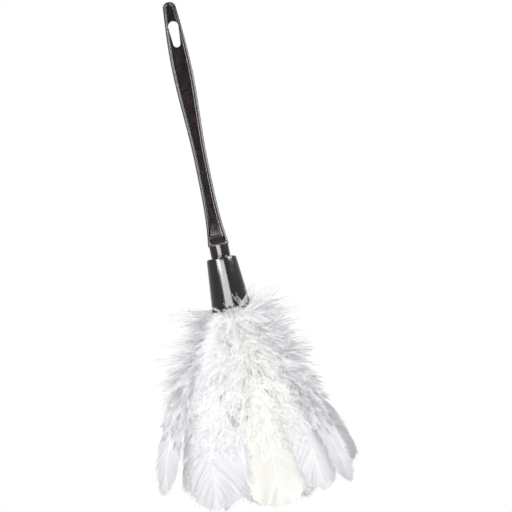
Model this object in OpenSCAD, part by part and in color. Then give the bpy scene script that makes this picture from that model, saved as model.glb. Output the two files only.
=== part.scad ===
// Feather duster: a moulded handle with a hanging slot, a tapered ferrule, and three
// tiers of feathers whose quills are bound around a short wooden core.
//
// Frame: +Z is up and the duster hangs straight down. The origin is the top of the
// hanging slot, where a hook or nail carries the weight. The handle's flat faces look
// along Y. A feather's azimuth is 0 at -Y, the front, and grows towards +X.

/* [Handle] */
// Height of the handle's tip above the top of the slot
tip_rise = 18; // [15:1:22]
// Length of the grip below the top of the slot
grip_drop = 207; // [180:1:230]
// Radius of the rounded tip
tip_r = 6.1; // [5:0.1:7]
// Width of the grip at its swell, below the slot
swell_w = 18.4; // [16:0.1:22]
// Width of the grip at its waist
waist_w = 12.2; // [11:0.1:15]
// Width of the grip where it meets the neck
flare_w = 19.4; // [18.5:0.1:22]
// Front to back depth of the grip along most of its length
grip_depth = 8.4; // [7:0.1:11]
// Front to back depth of the grip where it meets the neck
flare_depth = 15.6; // [12:0.1:17]
// Thickness of the web between the two recessed faces
web_t = 3.2; // [2.4:0.1:4]
// Width of the raised rim around each recessed face
rim_w = 2.4; // [1.6:0.1:2.6]
// Radius of the round neck
neck_r = 8.8; // [8.2:0.1:9]

/* [Hanging slot] */
// Overall length of the slot
slot_len = 24; // [20:1:28]
// Radius of the slot's wide upper end
slot_top_r = 4.7; // [4.2:0.1:5]
// Radius of the slot's narrow lower end
slot_low_r = 3.3; // [2.8:0.1:3.8]

/* [Ferrule] */
// Length of the ferrule
ferrule_len = 48; // [44:1:56]
// Length of neck showing between the grip and the ferrule
neck_show = 11; // [8:1:14]
// Outer radius at the top
ferrule_top_r = 13.6; // [13.2:0.1:15]
// Outer radius at the mouth
ferrule_mouth_r = 17.9; // [17.5:0.1:19]
// Wall thickness
ferrule_wall = 1.6; // [1.2:0.1:1.8]

/* [Feathers] */
// Radius of the circle that the outer quills stand on
outer_ring_r = 11.5; // [11.4:0.1:11.7]
// Radius of the circle that the middle quills stand on
middle_ring_r = 8.3; // [8.2:0.1:8.4]
// Radius of the circle that the inner quills stand on
inner_ring_r = 5.5; // [5.4:0.1:5.6]
// Reach of the middle feathers' tips from the axis
middle_tip_r = 45; // [38:1:48]
// Depth of the middle feathers' tips below the ferrule
middle_drop = 170; // [150:1:175]
// Reach of the inner feathers' tips from the axis
inner_tip_r = 23; // [18:1:26]
// Depth of the inner feathers' tips below the ferrule
inner_drop = 158; // [130:1:165]
// Thickness of a feather's vane
vane_t = 1.2; // [0.8:0.1:1.4]

/* [Hidden] */
OUTER_N = 12;
MIDDLE_N = 12;
INNER_N = 8;

black = [0.13, 0.11, 0.12];
down_white = [0.95, 0.95, 0.94];
thread_tan = [0.75, 0.68, 0.55];
dowel_tan = [0.80, 0.66, 0.46];
over = 1; // How far a cutting shape runs past the solid that it cuts

// Heights of the main joins
tip_z = tip_rise;
grip_z = -grip_drop;
ferrule_top_z = grip_z - neck_show;
mouth_z = ferrule_top_z - ferrule_len;
spigot_len = 14; // Length of neck inside the ferrule
spigot_z = ferrule_top_z - spigot_len;
grip_len = tip_z - grip_z;

// ---- Handle -------------------------------------------------------------------

swell_at = 0.27; // Share of the grip's length from the tip down to the swell
waist_at = 0.66; // The same, down to the waist
flare_power = 3.5;
depth_from = 0.70; // Where the grip begins to deepen towards the neck

// Half width of the grip at share f of its length, below the tip's own circle
function grip_half_w(f) =
    f < swell_at ? tip_r + (swell_w / 2 - tip_r) * sin(90 * (f - tip_r / grip_len)
        / (swell_at - tip_r / grip_len))
    : f < waist_at ? (swell_w + waist_w) / 4
        + (swell_w - waist_w) / 4 * cos(180 * (f - swell_at) / (waist_at - swell_at))
    : waist_w / 2 + (flare_w - waist_w) / 2
        * pow((f - waist_at) / (1 - waist_at), flare_power);

// Half depth of the grip at share f of its length
function grip_half_d(f) =
    grip_depth / 2
    + (flare_depth - grip_depth) / 2 * pow(max(0, (f - depth_from) / (1 - depth_from)), 2);

// The grip seen from the front, drawn inset by rim, down to height low
module grip_outline(rim, low) {
    start = tip_r / grip_len;
    last = (tip_z - low) / grip_len;
    steps = 36;
    shares = [for (i = [0:steps]) start + (last - start) * i / steps];
    right = [for (f = shares) [grip_half_w(f) - rim, tip_z - f * grip_len]];
    left = [for (i = [steps:-1:0]) [-right[i].x, right[i].y]];
    polygon(concat(right, left));
    translate([0, tip_z - tip_r])
        circle(r = tip_r - rim, $fn = 48);
}

// The grip seen from the side
module grip_profile() {
    tip_round = grip_depth / 2;
    steps = 24;
    shares = [for (i = [0:steps]) let (s = tip_round / grip_len) s + (1 - s) * i / steps];
    right = [for (f = shares) [grip_half_d(f), tip_z - f * grip_len]];
    left = [for (i = [steps:-1:0]) [-right[i].x, right[i].y]];
    polygon(concat(right, left));
    translate([0, tip_z - tip_round])
        circle(r = tip_round, $fn = 32);
}

// The hanging slot seen from the front: two arcs and their common tangents
module slot_outline() {
    gap = slot_len - slot_top_r - slot_low_r;
    lean = asin((slot_top_r - slot_low_r) / gap);
    top_y = -slot_top_r;
    low_y = -slot_len + slot_low_r;
    translate([0, top_y])
        circle(r = slot_top_r, $fn = 48);
    translate([0, low_y])
        circle(r = slot_low_r, $fn = 48);
    polygon([
        [slot_top_r * cos(lean), top_y - slot_top_r * sin(lean)],
        [-slot_top_r * cos(lean), top_y - slot_top_r * sin(lean)],
        [-slot_low_r * cos(lean), low_y - slot_low_r * sin(lean)],
        [slot_low_r * cos(lean), low_y - slot_low_r * sin(lean)]
    ]);
}

// Extrudes a front view symmetrically through the part, from -depth/2 to depth/2
module through_y(depth) {
    rotate([90, 0, 0])
        translate([0, 0, -depth / 2])
            linear_extrude(height = depth)
                children();
}

socket_r = 4.5;
socket_depth = 12;
bead_r = 0.8;
recess_low_z = grip_z + 3.5; // The recessed faces stop short of the neck

module handle() {
    color(black)
        difference() {
            union() {
                intersection() {
                    through_y(2 * flare_depth)
                        grip_outline(0, grip_z);
                    rotate([90, 0, 90])
                        translate([0, 0, -flare_w])
                            linear_extrude(height = 2 * flare_w)
                                grip_profile();
                }
                translate([0, 0, spigot_z])
                    cylinder(r = neck_r, h = grip_z - spigot_z, $fn = 64);
                translate([0, 0, ferrule_top_z - ferrule_wall - bead_r])
                    rotate_extrude($fn = 64)
                        translate([neck_r, 0])
                            circle(r = bead_r, $fn = 24);
            }
            for (side = [-1, 1])
                translate([0, side * (web_t + flare_depth) / 2, 0])
                    through_y(flare_depth)
                        grip_outline(rim_w, recess_low_z);
            through_y(4 * flare_depth)
                slot_outline();
            translate([0, 0, spigot_z - over])
                cylinder(r = socket_r, h = socket_depth + over, $fn = 48);
        }
}

// ---- Ferrule and what it hides ---------------------------------------------------

corner_r = 2;
hole_clear = 0.05; // Clearance between the neck and the ferrule's hole
lip_r = 0.6;
roof_step = 0.4; // How much the bore narrows just under the roof

module ferrule() {
    corner = [for (a = [0:15:90])
        [ferrule_top_r - corner_r + corner_r * sin(90 - a), ferrule_len - corner_r
            + corner_r * cos(90 - a)]];
    lip = [for (a = [0:30:90]) [ferrule_mouth_r - lip_r + lip_r * sin(a), lip_r - lip_r * cos(a)]];
    hole_r = neck_r + hole_clear;
    color(black)
        translate([0, 0, mouth_z])
            rotate_extrude($fn = 96)
                polygon(concat(
                    [[ferrule_mouth_r - ferrule_wall, 0]],
                    lip,
                    corner,
                    [
                        [hole_r, ferrule_len],
                        [hole_r, ferrule_len - ferrule_wall],
                        [ferrule_top_r - ferrule_wall - roof_step, ferrule_len - ferrule_wall]
                    ]
                ));
}

dowel_r = 4.4;
dowel_below = 19; // Length of the core below the ferrule's mouth
dowel_bevel = 1;
dowel_gap = 0.5; // Left between the core and the end of its socket

module core_dowel() {
    low = mouth_z - dowel_below;
    high = spigot_z + socket_depth - dowel_gap;
    color(dowel_tan)
        translate([0, 0, low]) {
            cylinder(r1 = dowel_r - dowel_bevel, r2 = dowel_r, h = dowel_bevel, $fn = 48);
            translate([0, 0, dowel_bevel])
                cylinder(r = dowel_r, h = high - low - dowel_bevel, $fn = 48);
        }
}

quill_r = 1.1; // Half width of an outer or middle quill
inner_quill_r = 0.85;
thread_r = 0.45; // Radius of the binding thread
thread_turns = 12;
skin = 0.1; // Gap between a binding and the quills that it holds
// Heights of the bindings above the ferrule's mouth
inner_binding_h = 16;
middle_binding_h = 14;
outer_binding_h = 13;

// A band of thread turns lying side by side, whose inner face has radius r
module binding(r, low) {
    color(thread_tan)
        translate([0, 0, low])
            rotate_extrude($fn = 64)
                union() {
                    translate([r, 0])
                        square([thread_r, 2 * thread_r * thread_turns]);
                    for (k = [0:thread_turns - 1])
                        translate([r + thread_r, thread_r * (2 * k + 1)])
                            circle(r = thread_r, $fn = 16);
                }
}

module inner_binding() {
    binding(inner_ring_r + inner_quill_r + skin, mouth_z + inner_binding_h);
}

module middle_binding() {
    binding(middle_ring_r + quill_r / 2 + skin, mouth_z + middle_binding_h);
}

module outer_binding() {
    binding(outer_ring_r + quill_r + skin, mouth_z + outer_binding_h);
}

// ---- Feathers --------------------------------------------------------------------

pivot_h = 8.5; // Height above the mouth at which an outer feather bends outwards
outer_quill_top = pivot_h + 0.8; // Height of an outer feather's own quill
middle_quill_top = 28;
inner_quill_top = 30;
quill_end_low = 10;
quill_end_high = 27;
// Half width that each tier's vanes may reach inside their sectors
outer_widest = 30;
middle_widest = 15;
inner_widest = 12;

// Azimuths of the edges between the outer feathers, hand laid, so the spacing is uneven
outer_edges = [-66, -14, 34, 54, 74, 106, 136, 164, 192, 220, 246, 270, 294];
// Reach of each outer tip from the axis, and its depth below the ferrule
outer_reach = [66, 62, 72, 82, 86, 84, 86, 84, 85, 88, 96, 92];
outer_drop = [171, 178, 171, 171, 158, 166, 172, 174, 170, 160, 140, 152];

function outer_azimuth(i) = (outer_edges[i - 1] + outer_edges[i]) / 2;
function outer_half(i) = (outer_edges[i] - outer_edges[i - 1]) / 2;
function ring_azimuth(i, n, turn) = 360 * (i - 0.5) / n + turn;
middle_turn = 4; // Turns the middle tier so that it doesn't line up with the others

// Share of the reach that a feather has gained at share t of its drop
early_splay = 0.5; // How much of the reach comes early, so that the feather curves
function splay(t) = t + early_splay * t * (1 - t);

// Hand-bound feathers differ a little: a size near 1 for feather i of a tier
vary_step = 137;
function vary(i, amount) = 1 + amount * sin(vary_step * i);

// Half width of a vane at share t of its drop: it widens from the quill, then rounds off
wide_at = 0.55;
round_at = 0.84;
rounding = 0.97;
function vane_half_w(t, quill, widest) =
    (quill + (widest - quill) * sin(90 * min(1, t / wide_at)))
    * sqrt(1 - rounding * pow(max(0, (t - round_at) / (1 - round_at)), 2));

// Shares of the drop at which a vane's cross-sections are taken
vane_shares = [0.06, 0.15, 0.27, 0.40, 0.55, 0.70, 0.84, 0.91, 0.96, 0.99, 1];

// One feather: a quill standing on the ring, then a vane that curves out and down.
// half is the half angle of the sector that the feather keeps to.
module feather(azimuth, half, ring, quill, quill_top, reach, drop, widest) {
    side_gap = 0.35; // Kept clear along each edge of the sector
    cols = 4;
    row = 2 * (cols + 1);
    shares = concat([-1, 0], vane_shares);
    radii = [for (t = shares) t <= 0 ? ring : ring + (reach - ring) * splay(t)];
    heights = [for (t = shares) t < 0 ? quill_top : -drop * t];
    thick = [for (t = shares) t <= 0 ? quill : vane_t / 2];
    angle = [for (k = [0:len(shares) - 1]) let (t = shares[k], r = radii[k])
        min((t <= 0 ? quill : vane_half_w(t, quill, widest)) / r * 180 / PI,
            half - side_gap / r * 180 / PI)];
    points = [
        for (k = [0:len(shares) - 1])
            for (j = [0:row - 1])
                let (
                    outer = j <= cols,
                    turn = outer ? -1 + 2 * j / cols : 1 - 2 * (j - cols - 1) / cols,
                    a = azimuth + angle[k] * turn,
                    r = radii[k] + (outer ? thick[k] : -thick[k])
                )
                [r * sin(a), -r * cos(a), mouth_z + heights[k]]
    ];
    rings = len(shares);
    sides = [
        for (k = [0:rings - 2])
            for (j = [0:row - 1])
                let (a = k * row + j, b = k * row + (j + 1) % row)
                each [[a, b, b + row], [a, b + row, a + row]]
    ];
    caps = [
        for (j = [0:cols - 1])
            let (a = j, b = j + 1, c = row - 2 - j, d = row - 1 - j, low = (rings - 1) * row)
            each [[a, d, c], [a, c, b], [low + a, low + c, low + d], [low + a, low + b, low + c]]
    ];
    color(down_white)
        polyhedron(points, concat(sides, caps), convexity = 6);
}

module outer_feather(i) {
    feather(outer_azimuth(i), outer_half(i), outer_ring_r, quill_r, outer_quill_top,
        outer_reach[i - 1], outer_drop[i - 1], outer_widest);
}

module middle_feather(i) {
    size = vary(i, 0.04);
    feather(ring_azimuth(i, MIDDLE_N, middle_turn), 180 / MIDDLE_N, middle_ring_r, quill_r / 2,
        middle_quill_top, middle_tip_r * size, middle_drop * (2 - size), middle_widest);
}

module inner_feather(i) {
    size = vary(i, 0.05);
    feather(ring_azimuth(i, INNER_N, 0), 180 / INNER_N, inner_ring_r, inner_quill_r,
        inner_quill_top, inner_tip_r * size, inner_drop * (2 - size), inner_widest);
}

// The upper ends of the outer quills, held in the binding above the bend
module outer_quill_ends() {
    color(down_white)
        for (i = [1:OUTER_N])
            rotate([0, 0, outer_azimuth(i)])
                translate([0, -outer_ring_r, mouth_z + quill_end_low])
                    cylinder(r = quill_r, h = quill_end_high - quill_end_low, $fn = 16);
}

// ---- Output ------------------------------------------------------------------------

handle();
ferrule();
core_dowel();
inner_binding();
middle_binding();
outer_binding();
outer_quill_ends();
for (i = [1:OUTER_N])
    outer_feather(i);
for (i = [1:MIDDLE_N])
    middle_feather(i);
for (i = [1:INNER_N])
    inner_feather(i);
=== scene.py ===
"""Feather duster: moulded handle, tapered ferrule and three tiers of feathers.

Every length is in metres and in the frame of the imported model: +Z is up, the duster hangs
down from its slot and its front faces -Y.
"""

import math

import bmesh
import bpy
import numpy as np
from mathutils import Matrix, Vector


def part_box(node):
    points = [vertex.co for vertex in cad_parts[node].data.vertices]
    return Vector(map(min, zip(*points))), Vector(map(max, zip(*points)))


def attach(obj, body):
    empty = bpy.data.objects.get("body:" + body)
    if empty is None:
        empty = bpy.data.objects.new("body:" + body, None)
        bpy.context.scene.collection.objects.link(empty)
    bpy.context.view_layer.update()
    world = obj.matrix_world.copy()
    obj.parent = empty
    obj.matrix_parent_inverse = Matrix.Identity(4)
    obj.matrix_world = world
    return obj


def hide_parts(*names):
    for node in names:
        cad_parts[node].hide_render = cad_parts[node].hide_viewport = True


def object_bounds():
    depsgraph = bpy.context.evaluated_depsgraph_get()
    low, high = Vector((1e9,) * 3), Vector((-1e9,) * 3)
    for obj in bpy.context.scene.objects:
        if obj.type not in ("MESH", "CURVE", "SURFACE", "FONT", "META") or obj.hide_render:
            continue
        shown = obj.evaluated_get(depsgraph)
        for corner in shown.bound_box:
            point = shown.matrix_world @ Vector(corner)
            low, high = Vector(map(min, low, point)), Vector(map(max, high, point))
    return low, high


SEED = 20
MM = 0.001

# ---- The frame ----------------------------------------------------------------------

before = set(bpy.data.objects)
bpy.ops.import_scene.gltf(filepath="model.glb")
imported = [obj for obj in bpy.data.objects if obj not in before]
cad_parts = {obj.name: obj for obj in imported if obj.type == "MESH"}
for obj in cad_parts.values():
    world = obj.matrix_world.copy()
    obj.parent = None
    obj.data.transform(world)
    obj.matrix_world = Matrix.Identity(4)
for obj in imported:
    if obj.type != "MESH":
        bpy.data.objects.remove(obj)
cad_bounds = [list(corner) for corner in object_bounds()]

TIP_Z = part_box("handle")[1].z
SPIGOT_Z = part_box("handle")[0].z
FERRULE_TOP_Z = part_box("ferrule")[1].z
MOUTH_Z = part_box("ferrule")[0].z
FERRULE_MOUTH_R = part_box("ferrule")[1].x
FERRULE_LEN = FERRULE_TOP_Z - MOUTH_Z
FERRULE_TOP_R = 13.6 * MM
FERRULE_WALL = 1.6 * MM
NECK_SHOW = 11 * MM
GRIP_Z = FERRULE_TOP_Z + NECK_SHOW

# ---- Mesh helpers -------------------------------------------------------------------

BAKE_UV = "OFBake"  # The UV layer for baking colour, where a mesh has one


def mesh_object(name, parts, material, smooth=True):
    """One mesh from parts of (points, faces, uv, tone); uv and tone are per point, or None."""
    starts = np.cumsum([0] + [len(p[0]) for p in parts[:-1]])
    points = np.concatenate([p[0] for p in parts])
    loops = np.concatenate([(p[1] + s).ravel() for p, s in zip(parts, starts)])
    sizes = np.concatenate([np.full(len(p[1]), p[1].shape[1]) for p in parts])
    mesh = bpy.data.meshes.new(name)
    mesh.vertices.add(len(points))
    mesh.vertices.foreach_set("co", points.astype(np.float32).ravel())
    mesh.loops.add(len(loops))
    mesh.loops.foreach_set("vertex_index", loops.astype(np.int32))
    mesh.polygons.add(len(sizes))
    first = np.concatenate([[0], np.cumsum(sizes)[:-1]])
    mesh.polygons.foreach_set("loop_start", first.astype(np.int32))
    mesh.polygons.foreach_set("use_smooth", np.full(len(sizes), smooth))
    if parts[0][2] is not None:
        uv = np.concatenate([p[2] for p in parts])
        layer = mesh.uv_layers.new(name=BAKE_UV)
        layer.data.foreach_set("uv", uv[loops].astype(np.float32).ravel())
        tone = np.concatenate([p[3] for p in parts])
        attribute = mesh.attributes.new("tone", "FLOAT", "POINT")
        attribute.data.foreach_set("value", tone.astype(np.float32))
    mesh.update(calc_edges=True)
    mesh.validate()
    obj = bpy.data.objects.new(name, mesh)
    bpy.context.scene.collection.objects.link(obj)
    obj.data.materials.append(material)
    return obj


def grid_faces(rows, cols, wrap_rows=False, wrap_cols=False):
    """Quads of a grid of points stored row by row."""
    r = np.arange(rows if wrap_rows else rows - 1)[:, None]
    c = np.arange(cols if wrap_cols else cols - 1)[None, :]
    r2, c2 = (r + 1) % rows, (c + 1) % cols
    return np.stack([r * cols + c, r * cols + c2, r2 * cols + c2, r2 * cols + c], -1).reshape(-1, 4)


def ribbons(path, across, width):
    """Strips along each path: path and across are (n, m, 3), width is (n, m)."""
    n, m = path.shape[:2]
    half = across * width[..., None] / 2
    points = np.stack([path - half, path + half], axis=2).reshape(-1, 3)
    base = (np.arange(n)[:, None] * m + np.arange(m - 1)[None, :]) * 2
    return points, np.stack([base, base + 1, base + 3, base + 2], -1).reshape(-1, 4)


def unit(v):
    return v / np.maximum(np.linalg.norm(v, axis=-1, keepdims=True), 1e-12)


def smoothstep(x, low=0.0, high=1.0):
    t = np.clip((np.asarray(x, float) - low) / (high - low), 0, 1)
    return t * t * (3 - 2 * t)


def sharpen(obj, degrees=35):
    """Shades obj smooth, but keeps edges sharper than this angle crisp."""
    bm = bmesh.new()
    bm.from_mesh(obj.data)
    for face in bm.faces:
        face.smooth = True
    for edge in bm.edges:
        edge.smooth = edge.calc_face_angle(0) < math.radians(degrees)
    bm.to_mesh(obj.data)
    bm.free()


def lathe(profile, sides=160):
    """Points and quads of a closed profile of (radius, height) turned about Z."""
    profile = np.array(profile, float)
    a = np.linspace(0, 2 * math.pi, sides, endpoint=False)[:, None]
    r, z = profile[None, :, 0], profile[None, :, 1]
    points = np.stack([r * np.sin(a), -r * np.cos(a), z + 0 * a], -1).reshape(-1, 3)
    return points, grid_faces(sides, len(profile), wrap_rows=True, wrap_cols=True)


def arc(cx, cy, r, start, end, steps):
    """Points along an arc from start to end degrees."""
    return [(cx + r * math.cos(math.radians(start + (end - start) * k / steps)),
             cy + r * math.sin(math.radians(start + (end - start) * k / steps)))
            for k in range(steps + 1)]


# ---- Materials ----------------------------------------------------------------------


def map_range(low, high, to_low, to_high):
    """Socket values of a Map Range node."""
    return {"From Min": low, "From Max": high, "To Min": to_low, "To Max": to_high}


class Shader:
    """A node material built around one Principled shader."""

    def __init__(self, name):
        self.material = bpy.data.materials.new(name)
        self.material.use_nodes = True
        self.tree = self.material.node_tree
        self.bsdf = self.tree.nodes["Principled BSDF"]

    def node(self, kind, **settings):
        made = self.tree.nodes.new(kind)
        for key, value in settings.items():
            if key in made.inputs:
                made.inputs[key].default_value = value
            else:
                setattr(made, key, value)
        return made

    def link(self, a, b):
        self.tree.links.new(a, b)

    def noise(self, scale, detail=3.0, roughness=0.6, vector=None):
        n = self.node("ShaderNodeTexNoise", Scale=scale, Detail=detail, Roughness=roughness)
        if vector is None:
            vector = self.node("ShaderNodeTexCoord").outputs["Object"]
        self.link(vector, n.inputs["Vector"])
        return n.outputs["Fac"]

    def spread(self, value, low, high, to_low, to_high):
        r = self.node("ShaderNodeMapRange", **map_range(low, high, to_low, to_high))
        self.link(value, r.inputs["Value"])
        return r.outputs["Result"]

    def mix(self, factor, a, b):
        m = self.node("ShaderNodeMix", data_type="RGBA")
        self.link(factor, m.inputs["Factor"])
        for socket, v in ((m.inputs[6], a), (m.inputs[7], b)):
            if isinstance(v, tuple):
                socket.default_value = (*v, 1)
            else:
                self.link(v, socket)
        return m.outputs[2]

    def bump(self, height, strength, distance):
        b = self.node("ShaderNodeBump", Strength=strength, Distance=distance)
        self.link(height, b.inputs["Height"])
        self.link(b.outputs["Normal"], self.bsdf.inputs["Normal"])


def plastic(name, colour, worn, rough_low, rough_high):
    """Moulded black plastic: faint mottling, uneven gloss, orange peel and worn edges."""
    s = Shader(name)
    mottle = s.spread(s.noise(90, 4), 0.35, 0.7, 0, 1)
    body = s.mix(mottle, colour, tuple(1.5 * c for c in colour))
    edge = s.spread(s.node("ShaderNodeNewGeometry").outputs["Pointiness"], 0.56, 0.68, 0, 0.12)
    s.link(s.mix(edge, body, worn), s.bsdf.inputs["Base Color"])
    s.link(s.spread(s.noise(240, 5), 0.3, 0.75, rough_low, rough_high), s.bsdf.inputs["Roughness"])
    s.bsdf.inputs["Specular IOR Level"].default_value = 0.3
    s.bump(s.noise(500, 2), 0.01, 0.0001)
    return s.material


def feather_material(name, light, shade):
    """Keratin barbs: pale and matt with a faint sheen, streaked and painted with shade along the tone
    attribute.
    """
    s = Shader(name)
    tone = s.node("ShaderNodeAttribute", attribute_name="tone").outputs["Fac"]
    patch = s.spread(s.noise(60, 4), 0.35, 0.7, 0, 0.12)
    factor = s.node("ShaderNodeMath", operation="ADD", use_clamp=True)
    s.link(tone, factor.inputs[0])
    s.link(patch, factor.inputs[1])
    # Painted shade: the tone attribute mixes the light colour into the shade colour
    s.link(s.mix(factor.outputs[0], light, shade), s.bsdf.inputs["Base Color"])
    s.link(s.spread(s.noise(600, 2), 0.3, 0.7, 0.62, 0.9), s.bsdf.inputs["Roughness"])
    s.bsdf.inputs["Specular IOR Level"].default_value = 0.25
    s.bsdf.inputs["Sheen Weight"].default_value = 0.15
    s.bump(s.noise(2500, 2), 0.25, 0.0003)
    return s.material


def wood(name):
    """Planed beech: long grain along Z with darker pores."""
    s = Shader(name)
    coords = s.node("ShaderNodeTexCoord").outputs["Object"]
    stretch = s.node("ShaderNodeMapping")
    stretch.inputs["Scale"].default_value = (1, 1, 0.06)
    s.link(coords, stretch.inputs["Vector"])
    grain = s.noise(700, 6, 0.7, stretch.outputs[0])
    s.link(s.mix(s.spread(grain, 0.35, 0.7, 0, 1), (0.74, 0.56, 0.37), (0.55, 0.37, 0.21)),
           s.bsdf.inputs["Base Color"])
    s.link(s.spread(grain, 0.3, 0.7, 0.5, 0.75), s.bsdf.inputs["Roughness"])
    s.bump(grain, 0.3, 0.0004)
    return s.material


def thread(name):
    """Waxed cotton thread: fine twist stripes around each turn."""
    s = Shader(name)
    coords = s.node("ShaderNodeTexCoord").outputs["Object"]
    twist = s.node("ShaderNodeTexWave", Scale=900, Distortion=2, wave_type="BANDS",
                   bands_direction="DIAGONAL")
    s.link(coords, twist.inputs["Vector"])
    s.link(s.mix(twist.outputs["Fac"], (0.68, 0.60, 0.46), (0.48, 0.40, 0.29)),
           s.bsdf.inputs["Base Color"])
    s.link(s.spread(s.noise(500), 0.3, 0.7, 0.6, 0.85), s.bsdf.inputs["Roughness"])
    s.bump(twist.outputs["Fac"], 0.4, 0.0002)
    return s.material


def backdrop_material():
    s = Shader("studio_floor")
    s.link(s.mix(s.noise(3), (0.93, 0.93, 0.93), (0.96, 0.96, 0.96)), s.bsdf.inputs["Base Color"])
    s.bsdf.inputs["Roughness"].default_value = 0.9
    return s.material


HANDLE_PLASTIC = plastic("handle_plastic", (0.007, 0.004, 0.005), (0.05, 0.045, 0.048), 0.13, 0.22)
FERRULE_PLASTIC = plastic("ferrule_plastic", (0.007, 0.006, 0.007), (0.05, 0.048, 0.052), 0.12, 0.2)
FEATHER_MATERIALS = {
    "feather_white": feather_material("feather_white", (0.98, 0.98, 0.985), (0.62, 0.62, 0.64)),
    "feather_cream": feather_material("feather_cream", (0.98, 0.976, 0.966), (0.66, 0.65, 0.62)),
    # Painted shade: feather_grey's dark shade colour greys the feathers that stand in the plume's
    # shade
    "feather_grey": feather_material("feather_grey", (0.95, 0.95, 0.965), (0.42, 0.42, 0.44)),
}

# ---- Handle -------------------------------------------------------------------------

GRIP_LEN = TIP_Z - GRIP_Z
TIP_R = 6.1 * MM
SWELL_HALF = 9.2 * MM
WAIST_HALF = 6.1 * MM
FLARE_HALF = 9.7 * MM
SWELL_AT, WAIST_AT, FLARE_POWER = 0.27, 0.66, 3.5
DEPTH_HALF = 4.2 * MM
FLARE_DEPTH_HALF = 7.8 * MM
DEPTH_FROM = 0.70
WEB_HALF = 1.6 * MM
RIM_W = 2.4 * MM
CREST_IN = 1.3 * MM
SIDE_ROUND = 2.6 * MM
NECK_R = 8.8 * MM
SOCKET_R = 4.5 * MM
SOCKET_DEPTH = 12 * MM
SLOT_LEN, SLOT_TOP_R, SLOT_LOW_R = 24 * MM, 4.7 * MM, 3.3 * MM
SHAFT_ROWS = 330  # Rows of the grip's surface along its length
TIP_ROWS = 24  # Rows around the quarter of the tip's circle


def grip_half_width(z):
    f = (TIP_Z - z) / GRIP_LEN
    start = TIP_R / GRIP_LEN
    if f < SWELL_AT:
        return TIP_R + (SWELL_HALF - TIP_R) * math.sin(
            math.pi / 2 * max(0, f - start) / (SWELL_AT - start))
    if f < WAIST_AT:
        turn = math.cos(math.pi * (f - SWELL_AT) / (WAIST_AT - SWELL_AT))
        return (SWELL_HALF + WAIST_HALF) / 2 + (SWELL_HALF - WAIST_HALF) / 2 * turn
    return WAIST_HALF + (FLARE_HALF - WAIST_HALF) * ((f - WAIST_AT) / (1 - WAIST_AT)) ** FLARE_POWER


def grip_half_depth(z):
    if z > TIP_Z - DEPTH_HALF:
        rise = min(z - (TIP_Z - DEPTH_HALF), DEPTH_HALF)
        return math.sqrt(max(DEPTH_HALF ** 2 - rise ** 2, 1e-9))
    f = (TIP_Z - z) / GRIP_LEN
    return DEPTH_HALF + (FLARE_DEPTH_HALF - DEPTH_HALF) * (
        max(0, (f - DEPTH_FROM) / (1 - DEPTH_FROM)) ** 2)


def web_half_depth(z):
    """The recessed face: flat, then curving up to meet the rim just above the neck."""
    rise = float(smoothstep(GRIP_Z + 9 * MM - z, 0, 8 * MM))
    return WEB_HALF + (grip_half_depth(z) - 0.6 * MM - WEB_HALF) * rise


def grip_row(depth, web, inner):
    """(distance in from the edge, half depth) along a quarter of a cross-section."""
    web = min(web, depth - 0.02 * MM)
    side = min(SIDE_ROUND, 0.7 * depth)
    fall = 0.6 * (depth - web)
    row = [(0, 0), (0, (depth - side) * 0.5)]
    row += [(CREST_IN * (1 - math.cos(t)), depth - side + side * math.sin(t))
            for t in (math.pi / 2 * k / 10 for k in range(11))]
    row += [(CREST_IN + (RIM_W - CREST_IN) * math.sin(t), depth - fall * (1 - math.cos(t)))
            for t in (math.pi / 2 * k / 6 for k in range(1, 7))]
    row += [(RIM_W + 0.02 * MM, web + (depth - fall - web) * 0.5),
            (RIM_W + 0.12 * MM, web + min(0.4 * MM, (depth - fall - web) * 0.3)),
            (RIM_W + 0.35 * MM, web + min(0.12 * MM, (depth - fall - web) * 0.1)),
            (RIM_W + 0.7 * MM, web)]
    last = row[-1][0]
    row += [(last + (inner - last) * k / 5, web) for k in range(1, 6)]
    return row


def handle_mesh():
    """The grip's surface as rows across its right front quarter, then mirrored twice."""
    centre_z = TIP_Z - TIP_R
    end_radius = 0.7 * MM
    end_steps = 3
    end_turn = np.linspace(0, math.pi / 2, end_steps + 1)
    heights = np.concatenate([
        GRIP_Z + end_radius - end_radius * np.cos(end_turn),
        np.linspace(GRIP_Z + end_radius, centre_z, SHAFT_ROWS)[1:]])
    rows = []
    for k, z in enumerate(heights):
        w, d = grip_half_width(z), grip_half_depth(z)
        inset = end_radius * (1 - math.sin(math.pi / 2 * min(1, k / end_steps)))
        rows.append([(max(w - e - inset, 0), y * (1 - inset / d), z)
                     for e, y in grip_row(d, web_half_depth(z), w)])
    for k in range(1, TIP_ROWS + 1):
        a = math.pi / 2 * k / TIP_ROWS
        row = []
        for e, y in grip_row(DEPTH_HALF, WEB_HALF, TIP_R):
            x, z = (TIP_R - e) * math.cos(a), centre_z + (TIP_R - e) * math.sin(a)
            row.append((x, y * grip_half_depth(z) / DEPTH_HALF, z))
        rows.append(row)
    rows.insert(0, [(0.0, 0.0, GRIP_Z)] * len(rows[0]))
    quarter = np.array(rows)
    faces = grid_faces(*quarter.shape[:2])
    bm = bmesh.new()
    for sx, sy in ((1, 1), (-1, 1), (1, -1), (-1, -1)):
        verts = [bm.verts.new((x * sx, -y * sy, z)) for x, y, z in quarter.reshape(-1, 3)]
        for f in faces:
            corners = [verts[i] for i in (f if sx * sy > 0 else f[::-1])]
            bm.faces.new(corners)
    bmesh.ops.remove_doubles(bm, verts=bm.verts, dist=1e-6)
    bmesh.ops.dissolve_degenerate(bm, edges=bm.edges, dist=1e-7)
    bmesh.ops.recalc_face_normals(bm, faces=bm.faces)
    return bm


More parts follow.
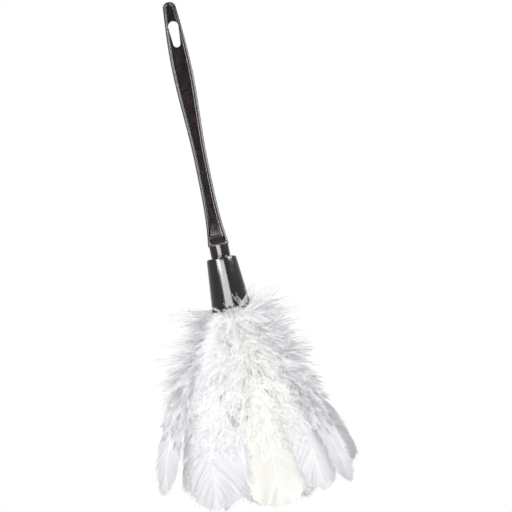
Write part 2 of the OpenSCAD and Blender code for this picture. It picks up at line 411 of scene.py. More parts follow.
def slot_loop(grow):
    """The slot's outline, grown by this much: two arcs joined by their tangents."""
    gap = SLOT_LEN - SLOT_TOP_R - SLOT_LOW_R
    lean = math.degrees(math.asin((SLOT_TOP_R - SLOT_LOW_R) / gap))
    top = arc(0, -SLOT_TOP_R, SLOT_TOP_R + grow, -lean, 180 + lean, 32)
    low = arc(0, -SLOT_LEN + SLOT_LOW_R, SLOT_LOW_R + grow, 180 + lean, 360 - lean, 24)
    return top + low


def slot_cutter():
    """A plug for the slot that flares at both faces of the web, so the edges come out round."""
    fillet = 0.55 * MM
    steps = [(WEB_HALF + 6 * MM, fillet), (WEB_HALF + 0.02 * MM, fillet)]
    steps += [(WEB_HALF - fillet * math.sin(t), fillet * (1 - math.cos(math.pi / 2 - t)))
              for t in (math.pi / 2 * k / 5 for k in range(1, 6))]
    steps += [(-y, grow) for y, grow in reversed(steps)]
    loops = np.array([[(x, y, z) for x, z in slot_loop(grow)] for y, grow in steps])
    rows, cols = loops.shape[:2]
    bm = bmesh.new()
    verts = [bm.verts.new(p) for p in loops.reshape(-1, 3)]
    for f in grid_faces(rows, cols, wrap_cols=True):
        bm.faces.new([verts[i] for i in f])
    bm.faces.new(verts[:cols])
    bm.faces.new(verts[-cols:][::-1])
    bmesh.ops.recalc_face_normals(bm, faces=bm.faces)
    return bm


def to_object(name, bm):
    """An object of this bmesh, which is freed."""
    mesh = bpy.data.meshes.new(name)
    bm.to_mesh(mesh)
    bm.free()
    obj = bpy.data.objects.new(name, mesh)
    bpy.context.scene.collection.objects.link(obj)
    return obj


def neck_profile():
    """(radius, height) around the neck and spigot: socket, snap bead and a fine groove on show."""
    neck_round = 0.5 * MM
    bead = 0.8 * MM
    bead_z = FERRULE_TOP_Z - FERRULE_WALL - bead
    groove_r = NECK_R - 0.25 * MM
    inside_grip = GRIP_Z + 0.2 * MM
    plug_r = SOCKET_R * 0.5
    socket_top = SPIGOT_Z + SOCKET_DEPTH
    return [
        (SOCKET_R, SPIGOT_Z), (NECK_R - neck_round, SPIGOT_Z), (NECK_R, SPIGOT_Z + neck_round),
        *arc(NECK_R, bead_z, bead, -90, 90, 8),
        (NECK_R, FERRULE_TOP_Z - 0.6 * MM), (groove_r, FERRULE_TOP_Z + 0.2 * MM),
        (groove_r, FERRULE_TOP_Z + 0.9 * MM), (NECK_R, FERRULE_TOP_Z + 1.5 * MM),
        (NECK_R, inside_grip), (plug_r, inside_grip), (plug_r, socket_top), (SOCKET_R, socket_top)]


def make_handle():
    grip = to_object("handle_moulding", handle_mesh())
    cutter = to_object("slot_cutter", slot_cutter())
    cut = grip.modifiers.new("slot", "BOOLEAN")
    cut.operation, cut.solver, cut.object = "DIFFERENCE", "EXACT", cutter
    points, faces = lathe(neck_profile())
    neck = mesh_object("neck", [(points, faces, None, None)], HANDLE_PLASTIC)
    depsgraph = bpy.context.evaluated_depsgraph_get()
    bm = bmesh.new()
    bm.from_object(grip, depsgraph)
    bm.from_mesh(neck.data)
    for extra in (grip, cutter, neck):
        bpy.data.objects.remove(extra)
    bmesh.ops.recalc_face_normals(bm, faces=bm.faces)
    handle = to_object("moulded_handle", bm)
    handle.data.materials.clear()
    handle.data.materials.append(HANDLE_PLASTIC)
    sharpen(handle)
    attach(handle, "duster")
    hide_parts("handle")


# ---- Ferrule and bindings -----------------------------------------------------------


def make_ferrule():
    """A tapered cap with a rounded lip and shoulder, open at the mouth, holed for the neck."""
    corner = 2.0 * MM
    lip = 0.6 * MM
    hole = NECK_R + 0.05 * MM
    roof_step = 0.4 * MM
    side_steps = 12
    mouth_edge = arc(FERRULE_MOUTH_R - lip, MOUTH_Z + lip, lip, -90, 0, 5)
    shoulder = arc(FERRULE_TOP_R - corner, FERRULE_TOP_Z - corner, corner, 5, 90, 9)
    (low_r, low_z), (high_r, high_z) = mouth_edge[-1], shoulder[0]
    side = [(low_r + (high_r - low_r) * k / side_steps, low_z + (high_z - low_z) * k / side_steps)
            for k in range(1, side_steps)]
    inner = [(hole, FERRULE_TOP_Z), (hole, FERRULE_TOP_Z - FERRULE_WALL),
             (FERRULE_TOP_R - FERRULE_WALL - roof_step, FERRULE_TOP_Z - FERRULE_WALL),
             (FERRULE_MOUTH_R - FERRULE_WALL, MOUTH_Z)]
    points, faces = lathe(mouth_edge + side + shoulder + inner, 192)
    ferrule = mesh_object("ferrule_cap", [(points, faces, None, None)], FERRULE_PLASTIC)
    sharpen(ferrule)
    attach(ferrule, "duster")
    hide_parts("ferrule")


def dress_cad_nodes():
    """The small hidden pieces keep their CAD shapes and get finished materials."""
    waxed = thread("binding_thread")
    looks = {"core_dowel": wood("dowel_wood"), "inner_binding": waxed, "middle_binding": waxed,
             "outer_binding": waxed, "outer_quill_ends": FEATHER_MATERIALS["feather_cream"]}
    for node, look in looks.items():
        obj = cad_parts[node]
        obj.data.materials.clear()
        obj.data.materials.append(look)


# ---- Feathers -----------------------------------------------------------------------

SPINE_STEPS = 320


def blade_profile(node):
    """A CAD blade's azimuth, and its distance from the axis at depths below the ferrule's mouth."""
    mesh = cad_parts[node].data
    co = np.empty(len(mesh.vertices) * 3, np.float32)
    mesh.vertices.foreach_get("co", co)
    co = co.reshape(-1, 3).astype(float)
    direction = np.arctan2(co[:, 0], -co[:, 1])
    azimuth = math.atan2(np.sin(direction).mean(), np.cos(direction).mean())
    levels = np.unique(np.round(co[:, 2], 5))
    radius = np.array([np.hypot(*co[np.abs(co[:, 2] - z) < 2e-5, :2].T).mean() for z in levels])
    depth = MOUTH_Z - levels
    shape = np.polyfit(depth[depth >= 0], radius[depth >= 0], 2)
    d = np.linspace(depth.min(), depth.max(), SPINE_STEPS)
    r = np.polyval(shape, np.maximum(d, 0))
    window = 15  # The bend at the mouth is smoothed over this many steps
    padded = np.pad(r, window, mode="edge")
    padded[-window:] = r[-1] + (r[-1] - r[-2]) * np.arange(1, window + 1)
    r = np.convolve(padded, np.ones(window) / window, mode="same")[window:-window]
    return azimuth, d, r


class Spine:
    """The curved shaft of one feather, read from its CAD blade, with axes along it."""

    def __init__(self, node, bow=0.0, roll=0.0, lift=0.0, drift=0.0):
        azimuth, d, r = blade_profile(node)
        out = np.array([math.sin(azimuth), -math.cos(azimuth), 0])
        side = np.array([math.cos(azimuth), math.sin(azimuth), 0])
        share = (d - d[0]) / (d[-1] - d[0])
        below = smoothstep(d, 0, 0.4 * d[-1])
        point = out * r[:, None] + np.array([0, 0, 1]) * (MOUTH_Z - d)[:, None]
        point += side * (bow * np.sin(math.pi * smoothstep(share, 0.1, 1.0)))[:, None]
        point += side * (drift * smoothstep(share, 0.2, 1.0))[:, None]
        tangent = unit(np.gradient(point, axis=0))
        normal = unit(np.cross(tangent, side))
        point += normal * (lift * below)[:, None]
        turn = (roll * below)[:, None]
        self.side = side * np.cos(turn) + normal * np.sin(turn)
        self.normal = normal * np.cos(turn) - side * np.sin(turn)
        self.point, self.tangent, self.radius = point, tangent, r
        step = np.linalg.norm(np.diff(point, axis=0), axis=1)
        self.length = step.sum()
        self.s = np.concatenate([[0], np.cumsum(step)])
        self.mouth = np.interp(0, d, self.s)

    def at(self, s):
        """Point, tangent, side and normal at distances s, run straight on past the tip."""
        k = np.interp(s, self.s, np.arange(SPINE_STEPS))
        i = np.minimum(k.astype(int), SPINE_STEPS - 2)
        f = (k - i)[..., None]
        fields = (self.point, self.tangent, self.side, self.normal)
        point, tangent, side, normal = (a[i] * (1 - f) + a[i + 1] * f for a in fields)
        point = point + tangent * np.maximum(s - self.length, 0)[..., None]
        return point, tangent, side, normal

    def surface(self, b, s, n):
        """Points of the cupped vane at b across, s along and n above it."""
        point, _, side, normal = self.at(s)
        cup = np.maximum(np.interp(s, self.s, self.radius), 18 * MM) * 1.5
        return point + side * b[..., None] + normal * (n - b * b / (2 * cup))[..., None]


def shaft_tube(spine, look):
    """The quill and rachis: a tapered tube along the spine."""
    rows, sides = 70, 8
    s = np.linspace(0, spine.length * 0.97 + min(look["overhang"], 0), rows)
    point, _, side, normal = spine.at(s)
    share = s / spine.length
    radius = 0.95 * MM * (1 - 0.9 * smoothstep(share, 0.02, 0.95)) + 0.08 * MM
    a = np.linspace(0, 2 * math.pi, sides, endpoint=False)
    ring = (side[:, None] * np.cos(a)[None, :, None] + normal[:, None] * np.sin(a)[None, :, None])
    points = (point[:, None] + ring * radius[:, None, None]).reshape(-1, 3)
    uv = np.stack([np.repeat(0.01 + 0.48 * share, sides), np.tile(0.49 + 0.02 * a / 6.3, rows)], -1)
    tone = np.repeat(0.35 + 0.15 * share, sides)
    return points, grid_faces(rows, sides, wrap_cols=True), uv, tone


def outline(spine, look, y):
    """Half width of the vane at distances y along the shaft, past the tip included."""
    width, length = look["half_width"], spine.length
    cap = width * look["squareness"]
    grow = 0.5 + 0.5 * smoothstep(y, spine.mouth, spine.mouth + 0.62 * (length - spine.mouth))
    over = np.clip((y - (length + look["overhang"] - cap)) / cap, 0, 1)
    return width * grow * np.maximum(1 - over ** 2.6, 0) ** (1 / 2.2)


def barb_tracks(spine, look, s0, alpha, steps, stretch=1.0):
    """Across and along distances of barbs leaving the shaft at s0, ending on the outline."""
    reach = np.linspace(0.02, 3.2, 110)[None, :] * look["half_width"]  # Lengths that are tried
    b = reach * np.sin(alpha)[:, None]
    y = s0[:, None] + reach * np.cos(alpha)[:, None]
    outside = b >= outline(spine, look, y)
    hit = np.where(outside.any(1), outside.argmax(1), reach.shape[1] - 1)
    reach = (reach[0, hit] * stretch)[:, None]
    q = np.linspace(0, 1, steps)[None, :]
    bulge = 0.26 * q * (1 - q)
    sin, cos = np.sin(alpha)[:, None], np.cos(alpha)[:, None]
    return reach * (sin * q + cos * bulge), s0[:, None] + reach * (cos * q - sin * bulge), q


def barb_angle(spine, s0):
    """Angle between barbs and shaft: wide near the down, closing up at the tip."""
    along = (s0 - spine.mouth) / (spine.length - spine.mouth)
    return np.radians(58 - 22 * along - 30 * smoothstep(along, 0.78, 1))


def vane_uv(spine, look, hand, b, y):
    """Places of vane points in the left half of the UV square."""
    u = 0.01 + 0.48 * np.clip(y / (spine.length + 0.03), 0, 1)
    v = 0.5 + 0.4 * hand * np.clip(b / look["half_width"], 0, 1.15)
    return np.stack([u, v], -1)


def painted_shade_along_vane(spine, y):
    """Painted shade: the vane greys a little towards its tip and is painted lighter towards the down.
    """
    return 0.3 * smoothstep(y, 0.8 * spine.length, 1.04 * spine.length) - 0.3 * (
        1 - smoothstep(y, 0.35 * spine.length, 0.7 * spine.length))


WEB_UNDER_DOWN = 0.12  # Share of the hanging length that the web runs on under the down
VANE_END = 0.992  # Share of the shaft where the last barbs leave it


def web(spine, look, rng):
    """The sheet that the hooked barbs make together, under the separate barbs."""
    parts = []
    rows, notch_every, across_steps, waves = 64, 3, 13, 9
    notches_at = np.arange(0, rows, notch_every)
    start = spine.mouth + (look["vane_from"] - WEB_UNDER_DOWN) * (spine.length - spine.mouth)
    s0 = np.linspace(start, spine.length * VANE_END, rows)
    taper = 0.15 + 0.85 * smoothstep(s0, start, start + 0.28 * (spine.length - start))
    for hand in (-1, 1):
        notches = np.interp(np.arange(rows), notches_at, rng.normal(0, 0.12, len(notches_at)))
        stretch = 0.93 - 0.3 * look["ragged"] * np.abs(notches)
        b, y, q = barb_tracks(spine, look, s0, barb_angle(spine, s0), across_steps, stretch * taper)
        wave = look["curl"] * np.interp(
            s0, np.linspace(0, spine.length, waves), rng.normal(0, 1, waves))
        path = spine.surface(hand * b, y, wave[:, None] * q ** 2.5 - 0.25 * MM)
        # Painted shade: the vane is painted darker than the down, and greyer towards its tip
        tone = np.clip(look["vane_painted_shade"] + painted_shade_along_vane(spine, y) + 0 * b, 0, 1)
        faces = grid_faces(*b.shape)
        parts.append((path.reshape(-1, 3), faces if hand > 0 else faces[:, ::-1],
                      vane_uv(spine, look, hand, b, y).reshape(-1, 2), tone.ravel()))
    return parts


def vane(spine, look, rng):
    """The separate barbs that show on the web, swept towards the tip, and their loose ends."""
    length = spine.length
    start = spine.mouth + look["vane_from"] * (length - spine.mouth)
    count = int((length - start) / look["pitch"])
    groups, lock_size, barb_steps, waves = 14, 14, 9, 9
    parts = []
    for hand in (-1, 1):
        s0 = np.sort(rng.uniform(start, length * VANE_END, count))
        group = np.interp(s0, np.linspace(start, length, groups), rng.normal(0, 1, groups))
        lock = np.repeat(rng.normal(0, 1, count // lock_size + 2), lock_size)[:count]
        alpha = barb_angle(spine, s0) + np.radians(look["ragged"] * (1.2 * group + 1.1 * lock))
        stretch = 1 + look["fringe"] * (0.6 * lock + rng.normal(0, 1, count))
        b, y, q = barb_tracks(spine, look, s0, np.maximum(alpha, 0.03), barb_steps, stretch)
        curl = look["curl"] * np.interp(
            s0, np.linspace(start, length, waves), rng.normal(0, 1, waves))
        lift = (0.25 * MM * np.sin(math.pi * q) + rng.normal(0, 0.12 * MM, (count, 1)) * q
                + (curl[:, None] + look["ragged"] * 0.25 * MM * lock[:, None]) * q ** 2.5)
        frayed = smoothstep(q, 0.75, 1)
        y = y + frayed * rng.normal(0, 0.8 * MM, (count, 1))
        lift = lift + frayed * rng.normal(0, 0.7 * MM, (count, 1))
        path = spine.surface(hand * b, y, lift)
        _, _, _, normal = spine.at(y)
        across = unit(np.cross(normal, np.gradient(path, axis=1)))
        thick = look["barb_width"] * (1 - 0.85 * smoothstep(q, 0.7, 1)) * (1 + 0 * b)
        points, faces = ribbons(path, across, thick)
        uv = np.repeat(vane_uv(spine, look, hand, b, y).reshape(-1, 2), 2, 0)
        # Painted shade: the barbs carry the vane's painted shade, with random tone per lock and barb
        tone = np.clip(look["vane_painted_shade"] + 0.04 * lock[:, None] + rng.normal(0, 0.035, (count, 1))
                       + painted_shade_along_vane(spine, y) + 0 * b, 0, 1)
        parts.append((points, faces, uv, np.repeat(tone.ravel(), 2)))
        parts.append(hairs(path[:, -3:], look["edge_hairs"], look["hair_length"], rng))
    return parts


def hairs(paths, count, longest, rng):
    """Loose downy hairs that leave the last stretch of some paths."""
    width, tone = 0.3 * MM, 0.1
    pick = rng.integers(0, len(paths), count)
    base = paths[pick, rng.integers(0, paths.shape[1], count)]
    onward = unit(paths[pick, -1] - paths[pick, 0])
    lean = unit(onward + rng.normal(0, 0.38, (count, 3)))
    bend = rng.normal(0, 0.3, (count, 3))
    size = rng.uniform(0.3, 1, (count, 1, 1)) * longest
    q = np.linspace(0, 1, 4)[None, :, None]
    path = base[:, None] + size * (lean[:, None] * q + bend[:, None] * q * q)
    across = unit(np.cross(lean, rng.normal(0, 1, (count, 3))))[:, None] + 0 * path
    points, faces = ribbons(path, across, width * (1 - 0.8 * q[..., 0]) + 0 * path[..., 0])
    n = len(points)
    uv = np.stack([np.full(n, 0.495), np.linspace(0.02, 0.98, n)], -1)
    return points, faces, uv, np.full(n, tone)


def keep_out_of_ferrule(points):
    """Moves points of the down that would be inside the ferrule's wall to just outside it."""
    clear = 0.4 * MM
    r = np.hypot(points[..., 0], points[..., 1])
    rise = np.clip((points[..., 2] - MOUTH_Z + clear) / FERRULE_LEN, 0, 1)
    wall = FERRULE_MOUTH_R - (FERRULE_MOUTH_R - FERRULE_TOP_R) * rise + clear
    above = smoothstep(points[..., 2], MOUTH_Z - 1.5 * MM, MOUTH_Z - clear)
    wanted = np.maximum(r, r + (wall - r) * above * (r < wall))
    scale = wanted / np.maximum(r, 1e-6)
    points[..., 0] *= scale
    points[..., 1] *= scale
    return points


DOWN_STEPS = 9
NEAR_TURN = 6.28  # Radians of about one full turn


def tuft_plan(spine, look, rng):
    """Where each tuft of down stands on the feather, how it leans and how long it is."""
    tufts = look["tufts"]
    low = spine.mouth + 1.5 * MM
    high = spine.mouth + look["down_to"] * (spine.length - spine.mouth)
    spot = rng.beta(1.0, look["down_thins"], tufts)
    s0 = low + (high - low) * spot
    spread_out = smoothstep(s0 - spine.mouth, 12 * MM, 60 * MM)
    share = rng.uniform(-0.85, 0.85, tufts) * spread_out
    turn = np.radians(rng.uniform(-100, 100, tufts) * (1 - spread_out)
                      + (85 * share + rng.normal(0, 26, tufts)) * spread_out)
    slant = np.radians(rng.normal(0, 12, tufts) + np.interp(spot, (0, 0.25, 1), look["slants"])
                       + look["rise"] * (spot < 0.12) * rng.uniform(0, 1, tufts))
    depth = look["down_length"] + (look["down_end"] - look["down_length"]) * smoothstep(spot, 0, 1)
    wisp = rng.uniform(0, 1, tufts) < look["wisps"]
    size = depth * np.where(wisp, rng.uniform(0.95, 1.25, tufts), rng.uniform(*look["body"], tufts))
    return {"range": (low, high), "spot": spot, "s0": s0, "spread_out": spread_out, "share": share,
            "turn": turn, "slant": slant, "wisp": wisp, "size": size,
            "droop": rng.uniform(0.0, 0.3, tufts), "sway": rng.normal(0, 0.14, (tufts, 2))}


def tuft_paths(spine, look, plan, rng):
    """Paths of all the down barbs, gathered towards the middle of their tuft, and their normals."""
    tufts, each = look["tufts"], look["tuft_barbs"]
    n = tufts * each
    every = {key: np.repeat(v, each, axis=0) for key, v in plan.items() if key != "range"}
    s0 = np.clip(every["s0"] + rng.normal(0, 2.4 * MM, n), *plan["range"])
    share = every["share"] + rng.normal(0, 0.06, n) * every["spread_out"]
    turn = every["turn"] + rng.normal(0, look["stray"], n)
    slant = every["slant"] + rng.normal(0, 0.75 * look["stray"], n)
    size = every["size"] * rng.uniform(0.72, 1.04, n)
    _, tangent, side, normal = spine.at(s0)
    root = spine.surface(share * outline(spine, look, s0), s0, 0 * s0)
    aim = normal * np.cos(turn)[:, None] + side * np.sin(turn)[:, None]
    aim = unit(aim * np.cos(slant)[:, None] + tangent * np.sin(slant)[:, None])
    q = np.linspace(0, 1, DOWN_STEPS)[None, :, None]
    second = unit(np.cross(aim, tangent + 1e-3))
    wave = rng.uniform(0, NEAR_TURN, (n, 1, 1))
    turns = rng.uniform(0.5, 1.2, (n, 1, 1))
    wobble = 1.0 * MM * np.sin(wave + NEAR_TURN * turns * q) * q
    wobble2 = 1.0 * MM * np.cos(wave * 1.7 + NEAR_TURN * turns * q) * q
    reach = size[:, None, None]
    bend = (tangent * every["droop"][:, None] + side * every["sway"][:, :1]
            + normal * every["sway"][:, 1:])
    path = (root[:, None] + aim[:, None] * q * reach + bend[:, None] * reach * q ** 2
            + second[:, None] * wobble + tangent[:, None] * wobble2)
    path = path.reshape(tufts, each, DOWN_STEPS, 3)
    gather = np.where(plan["wisp"], 0.93, 0.25)[:, None, None, None]
    late = np.where(plan["wisp"], 0.9, 1.6)[:, None, None, None]
    pull = gather * q[None] ** late
    path = (path * (1 - pull) + path.mean(1, keepdims=True) * pull).reshape(n, DOWN_STEPS, 3)
    return keep_out_of_ferrule(path), normal


def down(spine, look, rng):
    """The afterfeather: soft barbs in tufts that curl outwards, fringed with barbules.

    Wisps are tufts drawn together to a point, and the rest is the soft body between them.
    """
    tufts, each = look["tufts"], look["tuft_barbs"]
    n = tufts * each
    plan = tuft_plan(spine, look, rng)
    wisp = plan["wisp"]
    path, normal = tuft_paths(spine, look, plan, rng)
    heading = unit(np.gradient(path, axis=1))
    across = unit(np.cross(heading, normal[:, None] + 0.3 * rng.normal(0, 1, (n, 1, 3))))
    q = np.linspace(0, 1, DOWN_STEPS)[None, :]
    thick = look["down_width"] * np.repeat(np.where(wisp, 1.7, 1.0), each)[:, None]
    points, faces = ribbons(path, across, thick * (1 - 0.75 * q))
    lane = (np.arange(n) + 0.5) / n
    flat = 0 * path[..., 0]
    uv = np.stack([0.51 + 0.48 * q + flat, lane[:, None] + flat], -1)
    # Painted shade: the down near the vanes takes some of the vanes' painted shade
    painted_shade_near_vane = 0.22 * look["vane_painted_shade"] * smoothstep(plan["spot"], 0.5, 1)
    # Painted shade: wisps are painted grey for the shade at the plume's edges; the rest is random tone
    tone_each = look["wisp_painted_shade"] * wisp + painted_shade_near_vane * (1 - wisp) + rng.normal(0, 0.05, tufts)
    # Painted shade: the side and back feathers' down is painted greyer for the dimmer light at the
    # sides
    tone_each = look["down_painted_shade"] + np.repeat(tone_each, each) + rng.normal(0, 0.04, n)
    tone_each = np.clip(tone_each, 0, 1)
    tone = tone_each[:, None] + flat
    fringe = barbules(path, heading, look, lane, tone_each,
                      np.repeat(np.where(wisp, 0.38, 1), each), rng)
    return [(points, faces, np.repeat(uv.reshape(-1, 2), 2, 0), np.repeat(tone.ravel(), 2)), fringe]


def barbules(path, heading, look, lane, tone_each, scale, rng):
    """Tiny side hairs of the down barbs, one thin triangle each; lane, tone and scale per barb."""
    n, steps = path.shape[:2]
    per = look["barbules"]
    q = rng.uniform(0.12, 1, (n, per))
    k = q * (steps - 1)
    i = np.minimum(k.astype(int), steps - 2)
    f = (k - i)[..., None]
    row = np.arange(n)[:, None]
    base = path[row, i] * (1 - f) + path[row, i + 1] * f
    ahead = heading[row, i]
    out = unit(np.cross(ahead, rng.normal(0, 1, (n, per, 3))))
    lean = unit(out + ahead * rng.uniform(0.3, 0.9, (n, per, 1)))
    size = look["barbule_length"] * rng.uniform(0.5, 1.1, (n, per, 1))
    size = size * (1 - 0.7 * q[..., None] ** 2) * scale[:, None, None]
    root = ahead * 0.5 * look["barbule_width"]
    triangles = np.stack([base - root, base + root, base + lean * size], 2)
    count = n * per
    faces = np.arange(count * 3).reshape(-1, 3)
    u = 0.51 + 0.48 * q
    v = lane[:, None] + 0 * q
    uv = np.stack([np.repeat(u.ravel(), 3), np.repeat(v.ravel(), 3)], -1)
    tone = np.repeat((tone_each[:, None] + 0 * q).ravel(), 3)
    return triangles.reshape(-1, 3), faces, uv, tone


# Angles are in degrees, and tones are painted colour from 0, light, to 1, painted shade: the vane,
# wisp and down tones paint shade. "slants" are the down's leans towards the tip at its root, at a
# quarter and at its end. "rise" adds to the lean of the first tufts, so below 0 they lift towards the
# ferrule.
# "vane_from" and "down_to" are shares of the length below the mouth. "stray" is in radians.
BASE_LOOK = {
    "slot": "feather_white",
    "bow": 0.0, "roll": 0.0, "lift": 0.0, "drift": 0.0,
    "half_width": 22 * MM, "squareness": 0.9, "overhang": 0 * MM, "vane_from": 0.45, "vane_painted_shade": 0.68,
    "pitch": 0.5 * MM, "barb_width": 0.62 * MM, "ragged": 1.0, "fringe": 0.04, "curl": 1.0 * MM,
    "edge_hairs": 260, "hair_length": 5.5 * MM,
    "tufts": 150, "tuft_barbs": 5, "down_to": 0.72, "down_thins": 1.15, "down_painted_shade": 0.0,
    "down_length": 36 * MM, "down_end": 8 * MM, "down_width": 0.40 * MM, "slants": (18, 22, 62),
    "rise": 0, "stray": 0.24, "body": (0.5, 0.85), "wisps": 0.5, "wisp_painted_shade": 1.0,
    "barbules": 54, "barbule_length": 2.8 * MM, "barbule_width": 0.24 * MM,
}

# The two broad feathers in front have fine, dense, white down, and those behind have fewer wisps
FRONT = {"slants": (32, 32, 62), "down_length": 24 * MM, "down_width": 0.20 * MM, "tufts": 360,
         "barbules": 78, "barbule_length": 3.2 * MM, "barbule_width": 0.2 * MM, "stray": 0.42,
         "wisps": 0.05, "wisp_painted_shade": 0.05, "body": (0.75, 1.05), "vane_from": 0.5,
         "vane_painted_shade": 0.85, "down_to": 0.74, "down_thins": 1.35, "down_end": 9 * MM}
BACK = {"slants": (26, 28, 62), "wisps": 0.2, "wisp_painted_shade": 0.15, "body": (0.65, 0.95), "tufts": 200,
        "down_length": 30 * MM}

# What sets each outer feather apart, in node order
OUTER_LOOKS = [
    {**FRONT, "half_width": 36 * MM, "roll": -4, "lift": 2 * MM, "bow": -6 * MM, "drift": -5 * MM,
     "squareness": 0.75},
    {**FRONT, "half_width": 28 * MM, "roll": 5, "lift": 3 * MM, "bow": 3 * MM, "drift": -2 * MM,
     "vane_painted_shade": 1.0, "slot": "feather_cream"},
    {"half_width": 21 * MM, "roll": 6, "bow": 3 * MM, "slants": (20, 25, 62), "wisps": 0.3,
     "wisp_painted_shade": 0.2, "down_painted_shade": 0.1},
    {"half_width": 15 * MM, "roll": 8, "ragged": 2.2, "squareness": 2.0, "slants": (12, 18, 60),
     "rise": -25, "wisp_painted_shade": 0.85, "down_painted_shade": 0.2},
    # Painted shade: this back-right feather is painted grey for the shade it stands in
    {"half_width": 13 * MM, "roll": 62, "lift": -8 * MM, "slot": "feather_grey", "ragged": 0.4,
     "fringe": 0.01, "edge_hairs": 60, "overhang": -3 * MM, "vane_from": 0.62, "vane_painted_shade": 0.9,
     "rise": -25, "slants": (8, 15, 60), "down_painted_shade": 0.12, "wisp_painted_shade": 0.45, "tufts": 190},
    {"half_width": 17 * MM, "roll": 20, "ragged": 2.0, "squareness": 1.8, "slants": (-5, 20, 62),
     "rise": -45, "down_painted_shade": 0.4},
    {**BACK, "half_width": 24 * MM, "roll": 6},
    {**BACK, "half_width": 23 * MM, "roll": 5, "lift": 1 * MM},
    {**BACK, "half_width": 25 * MM, "roll": 0, "lift": 3 * MM, "slot": "feather_cream"},
    {"half_width": 20 * MM, "roll": -5, "lift": 1 * MM, "down_length": 32 * MM, "down_painted_shade": 0.2,
     "wisp_painted_shade": 0.9},
    # Painted shade: this left feather is painted light grey for the shade it stands in
    {"half_width": 15 * MM, "roll": -28, "lift": 4 * MM, "ragged": 2.2, "squareness": 1.8,
     "slot": "feather_grey", "vane_painted_shade": 0.3, "wisp_painted_shade": 0.45, "down_length": 32 * MM,
     "down_painted_shade": 0.1},
    {"half_width": 19 * MM, "roll": -20, "lift": 4 * MM, "drift": 3 * MM, "ragged": 2.0,
     "squareness": 1.6, "down_length": 34 * MM, "down_painted_shade": 0.2},
]
MIDDLE_LOOK = {"half_width": 19 * MM, "tufts": 30, "tuft_barbs": 6, "down_length": 24 * MM,
               "barbules": 22, "roll": 6, "edge_hairs": 140, "pitch": 0.7 * MM,
               "barb_width": 0.85 * MM}
MIDDLE_CREAM = (3, 8)
INNER_LOOK = {"half_width": 13 * MM, "tufts": 12, "tuft_barbs": 6, "down_length": 16 * MM,
              "barbules": 16, "roll": 8, "edge_hairs": 90, "pitch": 0.8 * MM,
              "barb_width": 0.95 * MM}
MIDDLE_COUNT, INNER_COUNT = 12, 8
MIDDLE_SEED, INNER_SEED = 100, 200


def make_feather(node, body, look, seed):
    """One feather in place of this CAD node, riding this body."""
    look = {**BASE_LOOK, **look}
    rng = np.random.default_rng(SEED * 1000 + seed)
    spine = Spine(node, look["bow"], math.radians(look["roll"]), look["lift"], look["drift"])
    parts = [shaft_tube(spine, look)]
    for grow in (web, vane, down):
        parts += grow(spine, look, rng)
    obj = mesh_object(node.replace("feather", "plume"), parts, FEATHER_MATERIALS[look["slot"]])
    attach(obj, body)
    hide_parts(node)


def make_feathers():
    for i, look in enumerate(OUTER_LOOKS, 1):
        make_feather(f"outer_feather_{i}", f"plume_{i}", look, i)
    for i in range(1, MIDDLE_COUNT + 1):
        look = {**MIDDLE_LOOK, "slot": "feather_cream"} if i in MIDDLE_CREAM else MIDDLE_LOOK
        make_feather(f"middle_feather_{i}", "duster", look, MIDDLE_SEED + i)
    for i in range(1, INNER_COUNT + 1):
        make_feather(f"inner_feather_{i}", "duster", INNER_LOOK, INNER_SEED + i)


# ---- Stage, light and camera --------------------------------------------------------

FLOOR_R = 1.7
FLOOR_DROP = 0.3
FLOOR_SIDES = 96


def make_stage():
    """A round pale floor well below the hanging duster."""
    z = cad_bounds[0][2] - FLOOR_DROP
    a = np.linspace(0, 2 * math.pi, FLOOR_SIDES, endpoint=False)
    rim = np.stack([FLOOR_R * np.cos(a), FLOOR_R * np.sin(a), 0 * a + z], -1)
    disc = (rim, np.arange(FLOOR_SIDES)[None, :], None, None)
    mesh_object("studio_floor", [disc], backdrop_material())


def softbox(name, height, azimuth, elevation, distance, size, radiance, seen_by="all"):
    """A rectangular light aimed at this height on the axis, seen by all, gloss or matt surfaces."""
    a, e = math.radians(azimuth), math.radians(elevation)
    away = Vector((math.sin(a) * math.cos(e), -math.cos(a) * math.cos(e), math.sin(e)))
    data = bpy.data.lights.new(name, "AREA")
    data.shape = "RECTANGLE"
    data.size, data.size_y = size
    data.energy = radiance * math.pi * size[0] * size[1]
    light = bpy.data.objects.new(name, data)
    light.location = Vector((0, 0, height)) + away * distance
    light.rotation_euler = away.to_track_quat("Z", "Y").to_euler()
    light.visible_camera = False
    light.visible_diffuse = seen_by != "gloss"
    light.visible_glossy = seen_by != "matt"
    bpy.context.scene.collection.objects.link(light)


WORLD_SEEN = 1.0
WORLD_LIGHT = 0.95
WORLD_FRONT = 0.10


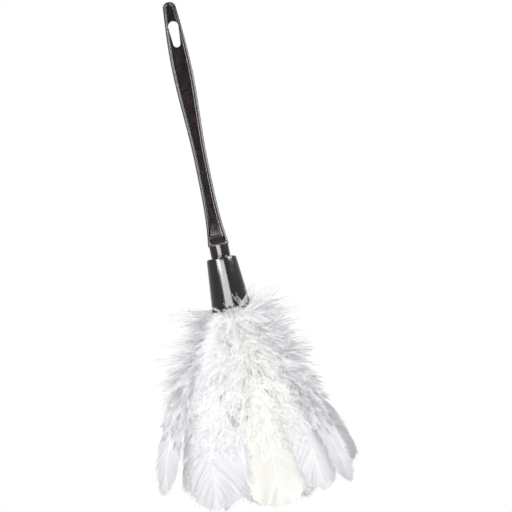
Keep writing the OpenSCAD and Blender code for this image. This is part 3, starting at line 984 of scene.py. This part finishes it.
def make_world():
    """White to look at, softer as light, and darkest where the photographer stands."""
    world = bpy.data.worlds.new("studio")
    bpy.context.scene.world = world
    world.use_nodes = True
    nodes, links = world.node_tree.nodes, world.node_tree.links
    coords = nodes.new("ShaderNodeTexCoord")
    split = nodes.new("ShaderNodeSeparateXYZ")
    links.new(coords.outputs["Generated"], split.inputs[0])
    front = nodes.new("ShaderNodeMapRange")
    for key, v in map_range(-1.0, -0.8, WORLD_FRONT, WORLD_LIGHT).items():
        front.inputs[key].default_value = v
    links.new(split.outputs["Y"], front.inputs["Value"])
    seen = nodes.new("ShaderNodeMix")
    seen.inputs[3].default_value = WORLD_SEEN
    links.new(nodes.new("ShaderNodeLightPath").outputs["Is Camera Ray"], seen.inputs["Factor"])
    links.new(front.outputs["Result"], seen.inputs[2])
    background = nodes["Background"]
    background.inputs["Color"].default_value = (1, 1, 1, 1)
    links.new(seen.outputs[0], background.inputs["Strength"])


def make_lights():
    """Broad soft boxes for the feathers, and long ones that only gloss sees for the plastics."""
    make_world()
    softbox("key", MOUTH_Z, -22, 34, 1.4, (0.9, 0.7), 3.5)
    softbox("front_fill", MOUTH_Z - 0.08, 2, 4, 2.1, (0.7, 0.7), 11.5, seen_by="matt")
    softbox("back_fill", MOUTH_Z, 160, 30, 1.5, (0.9, 0.9), 3.0)
    softbox("ferrule_gloss", MOUTH_Z + 40 * MM, -7, 0, 0.1, (0.075, 0.056), 24, seen_by="gloss")
    softbox("left_rim_gloss", GRIP_Z + 0.115, -27, 0, 0.15, (0.066, 0.225), 30, seen_by="gloss")
    softbox("right_rim_gloss", GRIP_Z + 0.122, 72, 0, 0.15, (0.10, 0.211), 34, seen_by="gloss")


VIEW_LEAN = math.radians(11.7)
VIEW_DISTANCE = 2.0
VIEW_HEIGHT = 0.4634  # Height of what the camera frames at the object
VIEW_AIM = Vector((0.0312, 0, MOUTH_Z + 0.0427))


def make_camera():
    """Level with the duster's middle, rolled so that the duster leans to the left."""
    data = bpy.data.cameras.new("camera")
    data.sensor_width = 36
    data.lens = data.sensor_width * VIEW_DISTANCE / VIEW_HEIGHT
    camera = bpy.data.objects.new("camera", data)
    right = Vector((math.cos(VIEW_LEAN), 0, -math.sin(VIEW_LEAN)))
    up = Vector((math.sin(VIEW_LEAN), 0, math.cos(VIEW_LEAN)))
    turn = Matrix((right, up, Vector((0, -1, 0)))).transposed()
    place = VIEW_AIM + Vector((0, -VIEW_DISTANCE, 0))
    camera.matrix_world = Matrix.Translation(place) @ turn.to_4x4()
    bpy.context.scene.collection.objects.link(camera)
    bpy.context.scene.camera = camera


bpy.context.scene.view_settings.view_transform = "Standard"
bpy.context.scene.cycles.diffuse_bounces = 12  # White down is lit mostly by light from other barbs
bpy.context.scene.cycles.max_bounces = 16
make_camera()
make_handle()
make_ferrule()
dress_cad_nodes()
make_feathers()
make_stage()
make_lights()
